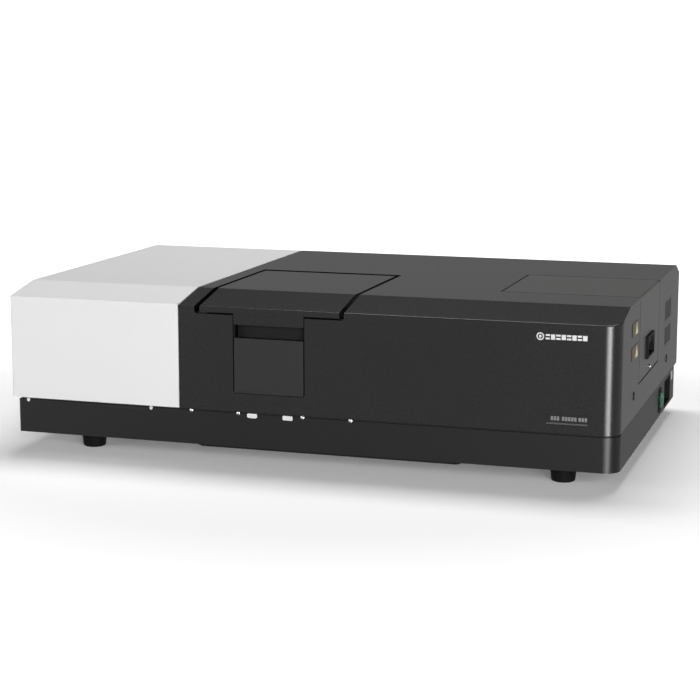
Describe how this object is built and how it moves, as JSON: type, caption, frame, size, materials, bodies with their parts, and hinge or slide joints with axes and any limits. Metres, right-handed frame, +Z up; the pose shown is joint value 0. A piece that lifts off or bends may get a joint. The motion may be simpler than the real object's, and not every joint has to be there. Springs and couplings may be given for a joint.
{
  "type": "spectrophotometer",
  "caption": "Bench-top double-beam spectrophotometer with a hinged sample compartment lid, detector and main covers, pull-off lamp cover and working optics inside.",
  "frame": {"origin": "on the surface it stands on, under the middle of the instrument's box", "axes": "+Z up, -Y towards the user's side with the sample compartment, +X towards the lamp end"},
  "size_m": [1.0264, 0.66, 0.275],
  "materials": {
    "pale_paint": "satin",
    "dark_paint": "satin",
    "base_paint": "matte",
    "lamp_cover_paint": "satin",
    "panel_paint": "satin",
    "pan_paint": "matte",
    "rubber": "matte",
    "black_plastic": "matte",
    "motor_black": "satin",
    "pale_plastic": "satin",
    "green_plastic": "gloss",
    "yellow_label": "satin",
    "orange_label": "satin",
    "screw_steel": "satin",
    "black_steel": "satin",
    "badge_steel": "satin",
    "plated_steel": "satin",
    "cast_aluminium": "matte",
    "black_anodised": "matte",
    "mirror": "polished",
    "quartz": "polished",
    "lamp_glass": "polished",
    "board_green": "satin"
  },
  "bodies": {
    "frame": {"base_chassis": "base_paint", "belly_pan": "pan_paint", "foot_front_left": "rubber", "foot_front_right": "rubber", "foot_rear_left": "rubber", "foot_rear_right": "rubber", "detector_cover": "pale_paint", "main_cover": "dark_paint", "louvre_upper": "dark_paint", "louvre_lower": "dark_paint", "lid_hinge_pin": "screw_steel", "finger_recess": "pan_paint", "sample_tub": "pan_paint", "window_left": "quartz", "window_right": "quartz", "cell_holder_sample": "black_anodised", "cell_holder_reference": "black_anodised", "badge": "badge_steel", "model_plate": "badge_steel", "seam_screw_1": "screw_steel", "seam_screw_2": "screw_steel", "seam_screw_3": "screw_steel", "seam_screw_4": "screw_steel", "cover_screw_1": "pale_plastic", "cover_screw_2": "pale_plastic", "seam_cap_1": "pale_plastic", "seam_cap_2": "pale_plastic", "side_screw_front": "black_steel", "side_screw_rear": "black_steel", "warning_label_upper": "yellow_label", "warning_label_lower": "orange_label", "blank_label": "pale_plastic", "power_bezel": "black_plastic", "connector_recess": "black_plastic", "power_inlet": "black_plastic", "data_port": "plated_steel", "fuse_holder": "black_plastic", "fan_frame": "black_plastic", "optical_bench": "cast_aluminium", "deuterium_lamp": "lamp_glass", "halogen_lamp": "lamp_glass", "collimator_first": "mirror", "collimator_second": "mirror", "chopper_motor": "motor_black", "detector_visible": "black_anodised", "detector_infrared": "cast_aluminium", "power_supply": "plated_steel", "main_board": "board_green"},
    "lid": {"sample_lid": "dark_paint"},
    "front_panel": {"front_panel": "panel_paint"},
    "lamp_cover": {"lamp_cover": "lamp_cover_paint", "lamp_cover_pull": "black_plastic"},
    "lamp_cover_screw": {"lamp_cover_screw": "screw_steel"},
    "power_rocker": {"power_rocker": "green_plastic"},
    "fan_rotor": {"fan_rotor": "black_plastic"},
    "lamp_mirror": {"lamp_mirror": "mirror"},
    "detector_mirror": {"detector_mirror": "mirror"},
    "grating_turret_first": {"grating_turret_first": "black_anodised"},
    "grating_turret_second": {"grating_turret_second": "black_anodised"},
    "chopper_wheel": {"chopper_wheel": "mirror"}
  },
  "joints": [
    {"name": "lid_hinge", "type": "hinge", "parent": "frame", "child": "lid", "pos_m": [-0.052, -0.017, 0.268], "axis": [-1, 0, 0], "range_deg": [0, 75]},
    {"name": "front_panel_pull", "type": "slide", "parent": "frame", "child": "front_panel", "axis": [0, -1, 0], "range_m": [0, 0.06]},
    {"name": "lamp_cover_pull_off", "type": "slide", "parent": "frame", "child": "lamp_cover", "axis": [1, 0, 0], "range_m": [0, 0.08]},
    {"name": "lamp_screw_turn", "type": "hinge", "parent": "lamp_cover", "child": "lamp_cover_screw", "pos_m": [0.51, -0.024, 0.143], "axis": [1, 0, 0], "range_deg": [-720, 0]},
    {"name": "power_switch", "type": "hinge", "parent": "frame", "child": "power_rocker", "pos_m": [0.5055, 0.112, 0.059], "axis": [0, -1, 0], "range_deg": [0, 12]},
    {"name": "fan_spin", "type": "hinge", "parent": "frame", "child": "fan_rotor", "pos_m": [0.49, 0.184, 0.1865], "axis": [1, 0, 0], "continuous": true},
    {"name": "lamp_select", "type": "hinge", "parent": "frame", "child": "lamp_mirror", "pos_m": [0.356, -0.026, 0.0723], "axis": [0, 0, -1], "range_deg": [0, 40]},
    {"name": "detector_select", "type": "hinge", "parent": "frame", "child": "detector_mirror", "pos_m": [-0.33, -0.18, 0.0723], "axis": [0, 0, 1], "range_deg": [0, 60]},
    {"name": "grating_turn_first", "type": "hinge", "parent": "frame", "child": "grating_turret_first", "pos_m": [0.258, -0.06, 0.0723], "axis": [0, 0, 1], "continuous": true},
    {"name": "grating_turn_second", "type": "hinge", "parent": "frame", "child": "grating_turret_second", "pos_m": [0.16, -0.06, 0.0723], "axis": [0, 0, 1], "continuous": true},
    {"name": "chopper_spin", "type": "hinge", "parent": "frame", "child": "chopper_wheel", "pos_m": [0.1, -0.18, 0.15], "axis": [1, 0, 0], "continuous": true}
  ],
  "couplings": [
    {"joint": "grating_turn_second", "follows": "grating_turn_first", "ratio": 1}
  ]
}
